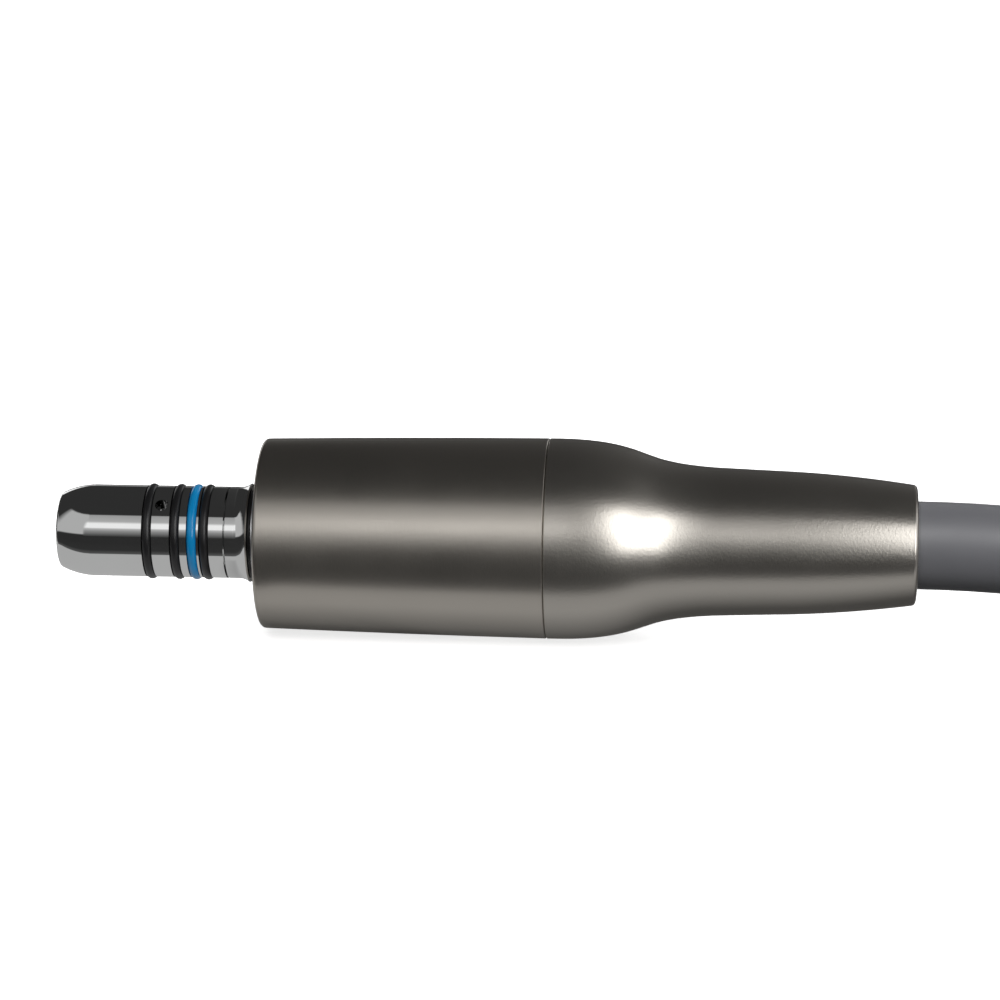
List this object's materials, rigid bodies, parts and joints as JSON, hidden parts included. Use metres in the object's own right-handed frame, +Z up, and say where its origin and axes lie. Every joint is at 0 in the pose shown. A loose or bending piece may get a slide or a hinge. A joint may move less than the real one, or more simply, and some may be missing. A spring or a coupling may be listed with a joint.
{
  "type": "dental electric micromotor",
  "caption": "Dental drive motor: plated coupling nose with seals, satin barrel, waisted screw-on hose sleeve and a coiled grey hose with its connector.",
  "frame": {"origin": "on the table, under the middle of the motor's length", "axes": "+X along the motor's axis towards the hose, -X towards the coupling nose, +Z up from the table"},
  "size_m": [0.2241, 0.1211, 0.0356],
  "materials": {
    "chrome_nose": "bright plated",
    "satin_shell": "satin, titanium coloured",
    "black_rubber": "smooth",
    "blue_rubber": "smooth",
    "clear_glass": "clear",
    "lamp_body": "moulded",
    "wire_insulation": "insulated wire",
    "ground_steel": "ground",
    "bearing_steel": "polished",
    "spring_steel": "drawn",
    "cage_plastic": "moulded",
    "magnet": "plated magnet",
    "balance_brass": "turned",
    "lamination_steel": "varnished",
    "copper_winding": "enamelled",
    "end_bell_metal": "turned",
    "board": "coated board",
    "dark_moulding": "moulded",
    "gold_contact": "plated",
    "white_nylon": "moulded",
    "inner_line": "translucent",
    "cable_jacket": "extruded",
    "grey_silicone": "satin",
    "grey_boot": "matt",
    "tie_strap": "soft strap",
    "nut_metal": "satin"
  },
  "bodies": {
    "motor": {"nose_sleeve": "chrome_nose", "coupling_collar": "chrome_nose", "front_casing": "satin_shell", "black_o_rings": "black_rubber", "base_seal": "black_rubber", "shaft_seal": "black_rubber", "joint_seal": "black_rubber", "nipple_o_rings": "black_rubber", "blue_o_ring": "blue_rubber", "led_lens": "clear_glass", "led_lamp": "lamp_body", "led_leads": "wire_insulation", "phase_leads": "wire_insulation", "bearing_shields": "ground_steel", "coupling_ring": "ground_steel", "hose_barb": "ground_steel", "crimp_ferrule": "ground_steel", "fluid_nipples": "ground_steel", "chip_air_tube": "ground_steel", "water_tube": "ground_steel", "motor_can": "ground_steel", "connector_tubes": "ground_steel", "front_bearing_outer": "bearing_steel", "rear_bearing_outer": "bearing_steel", "preload_spring": "spring_steel", "stator_laminations": "lamination_steel", "stator_windings": "copper_winding", "front_end_bell": "end_bell_metal", "rear_end_bell": "end_bell_metal", "sensor_board": "board", "contact_block": "dark_moulding", "socket_block": "dark_moulding", "connector_body": "dark_moulding", "contact_pins": "gold_contact", "connector_pins": "gold_contact", "fluid_lines": "inner_line", "power_cable": "cable_jacket", "hose_end": "grey_silicone", "hose_lead": "grey_silicone", "hose_coil": "grey_silicone", "hose_tail": "grey_silicone", "connector_boot": "grey_boot", "connector_gasket": "grey_boot", "hose_ties": "tie_strap"},
    "rotor": {"rotor_shaft": "ground_steel", "dog_pin": "ground_steel", "dog_spring": "spring_steel", "rotor_magnet": "magnet", "magnet_sleeve": "ground_steel", "balance_rings": "balance_brass", "front_bearing_inner": "bearing_steel", "rear_bearing_inner": "bearing_steel"},
    "dog": {"drive_dog": "ground_steel"},
    "front_cage": {"front_bearing_cage": "cage_plastic", "front_bearing_balls": "bearing_steel"},
    "rear_cage": {"rear_bearing_cage": "cage_plastic", "rear_bearing_balls": "bearing_steel"},
    "thrust_ring": {"slip_ring": "white_nylon"},
    "sleeve": {"hose_sleeve": "satin_shell"},
    "union_nut": {"connector_nut": "nut_metal"}
  },
  "joints": [
    {"name": "rotor_spin", "type": "hinge", "parent": "motor", "child": "rotor", "pos_m": [0, 0, 0.0109], "axis": [1, 0, 0], "continuous": true},
    {"name": "dog_slide", "type": "slide", "parent": "rotor", "child": "dog", "axis": [1, 0, 0], "range_m": [0, 0.001], "stiffness_N_per_m": 300, "springref_m": -0.0015, "deforming": ["dog_spring"]},
    {"name": "front_cage_spin", "type": "hinge", "parent": "motor", "child": "front_cage", "pos_m": [-0.01755, 0, 0.0109], "axis": [1, 0, 0], "continuous": true},
    {"name": "rear_cage_spin", "type": "hinge", "parent": "motor", "child": "rear_cage", "pos_m": [0.00325, 0, 0.0109], "axis": [1, 0, 0], "continuous": true},
    {"name": "sleeve_back", "type": "slide", "parent": "motor", "child": "thrust_ring", "axis": [1, 0, 0], "range_m": [0, 0.00226]},
    {"name": "sleeve_turn", "type": "hinge", "parent": "thrust_ring", "child": "sleeve", "pos_m": [0.02345, 0, 0.0109], "axis": [1, 0, 0], "range_deg": [0, 1080]},
    {"name": "union_nut_spin", "type": "hinge", "parent": "motor", "child": "union_nut", "pos_m": [0.16894, 0.08375, 0.02735], "axis": [0.0523, 0.9986, 0], "continuous": true}
  ],
  "couplings": [
    {"joint": "front_cage_spin", "follows": "rotor_spin", "ratio": 0.39394},
    {"joint": "rear_cage_spin", "follows": "rotor_spin", "ratio": 0.39394},
    {"joint": "sleeve_back", "follows": "sleeve_turn", "m_per_rad": 0.00011937}
  ]
}
